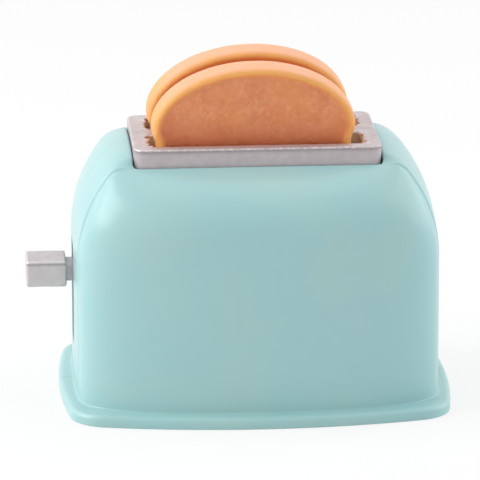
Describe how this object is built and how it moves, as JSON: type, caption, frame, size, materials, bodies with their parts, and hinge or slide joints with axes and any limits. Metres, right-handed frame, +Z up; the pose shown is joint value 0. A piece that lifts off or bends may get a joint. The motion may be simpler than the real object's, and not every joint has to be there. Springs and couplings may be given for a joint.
{
  "type": "toy toaster",
  "caption": "Doll-size toy pop-up toaster: pale mint shell on a flange, silver slot plate, sprung side lever and lift-out bread slices.",
  "frame": {"origin": "middle of the flat underside of the base, on the plane that the toaster stands on", "axes": "+X along the bread slots, away from the lever end; +Y from the front face to the rear face; +Z up out of the bread slots"},
  "size_m": [0.0974, 0.07, 0.0781],
  "materials": {
    "mint_plastic": "moulded, soft satin gloss",
    "silver_paint": "silver paint on plastic, fine grain, worn at the edges",
    "inner_plastic": "plain moulded",
    "stop_rubber": "soft",
    "bright_steel": "drawn wire and rod",
    "screw_steel": "zinc plated",
    "toast": "wrinkled moulded vinyl with a paler rim"
  },
  "bodies": {
    "casing": {"front_shell": "mint_plastic", "rear_shell": "mint_plastic", "base_plate": "mint_plastic", "slot_plate": "silver_paint", "left_guide_rod": "bright_steel", "right_guide_rod": "bright_steel", "left_stop_washer": "stop_rubber", "right_stop_washer": "stop_rubber", "left_spring": "bright_steel", "right_spring": "bright_steel", "catch_leaf": "bright_steel", "catch_screw": "screw_steel", "base_screws": "screw_steel", "plate_screws": "screw_steel"},
    "carriage": {"bread_tray": "inner_plastic", "left_bushing": "inner_plastic", "right_bushing": "inner_plastic", "lever_arm": "silver_paint", "arm_screws": "screw_steel", "lever_knob": "silver_paint"},
    "front_bread": {"front_slice": "toast"},
    "rear_bread": {"rear_slice": "toast"}
  },
  "joints": [
    {"name": "lever_slide", "type": "slide", "parent": "casing", "child": "carriage", "axis": [0, 0, -1], "range_m": [0, 0.014], "stiffness_N_per_m": 60, "springref_m": -0.015, "deforming": ["left_spring", "right_spring"]},
    {"name": "front_slice_lift", "type": "slide", "parent": "carriage", "child": "front_bread", "axis": [0, 0, 1], "range_m": [0, 0.06]},
    {"name": "rear_slice_lift", "type": "slide", "parent": "carriage", "child": "rear_bread", "axis": [0, 0, 1], "range_m": [0, 0.06]}
  ]
}
